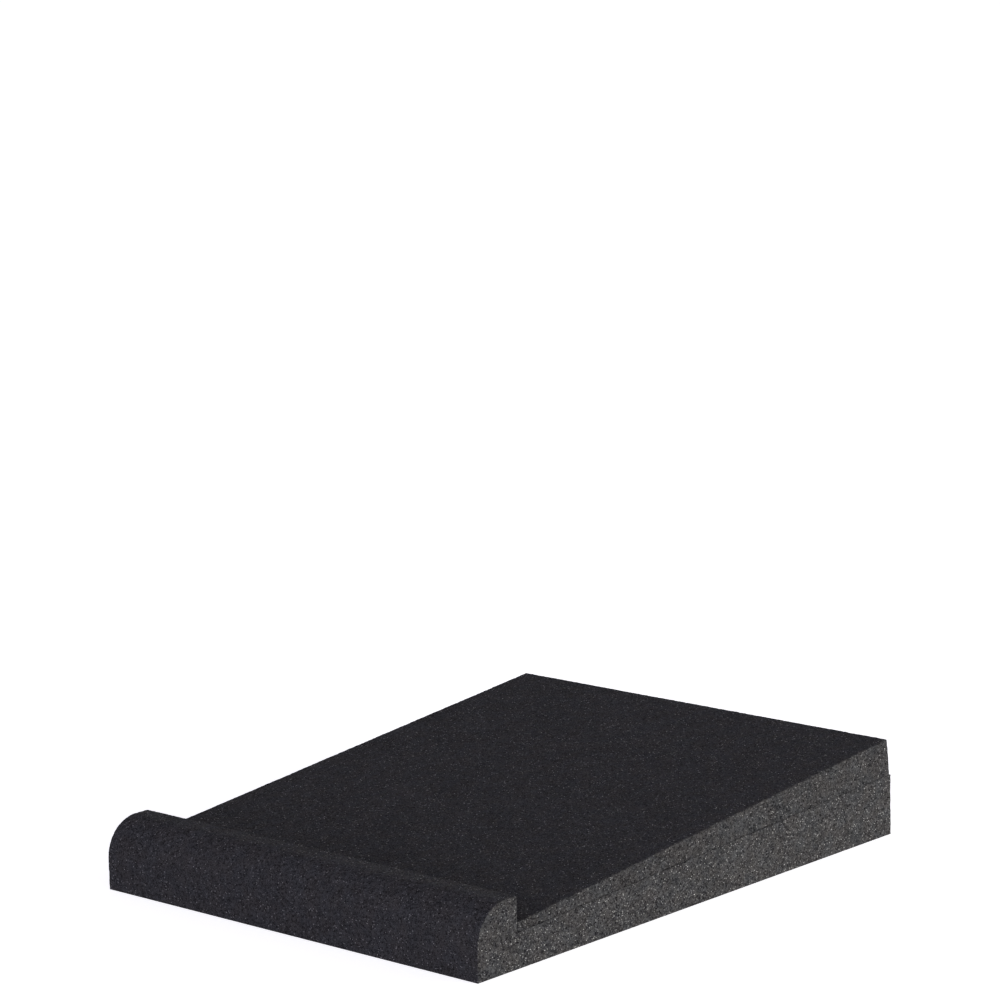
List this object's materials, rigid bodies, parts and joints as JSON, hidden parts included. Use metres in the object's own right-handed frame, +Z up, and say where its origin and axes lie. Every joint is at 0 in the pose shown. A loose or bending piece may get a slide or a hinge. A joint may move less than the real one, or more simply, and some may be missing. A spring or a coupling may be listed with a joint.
{
  "type": "speaker isolation pad",
  "caption": "Foam isolation pad: a base with a rounded front stop lip and a sloping seat, and a loose wedge insert lying on the seat behind the lip.",
  "frame": {"origin": "middle of the underside", "axes": "+Z up, -Y to the front where the stop lip is, +Y to the high rear edge, X across the pad"},
  "size_m": [0.27, 0.347, 0.0555],
  "materials": {
    "charcoal_foam": "open-cell foam, matte charcoal"
  },
  "bodies": {
    "root": {"base_pad": "charcoal_foam", "wedge_insert": "charcoal_foam"}
  },
  "joints": []
}
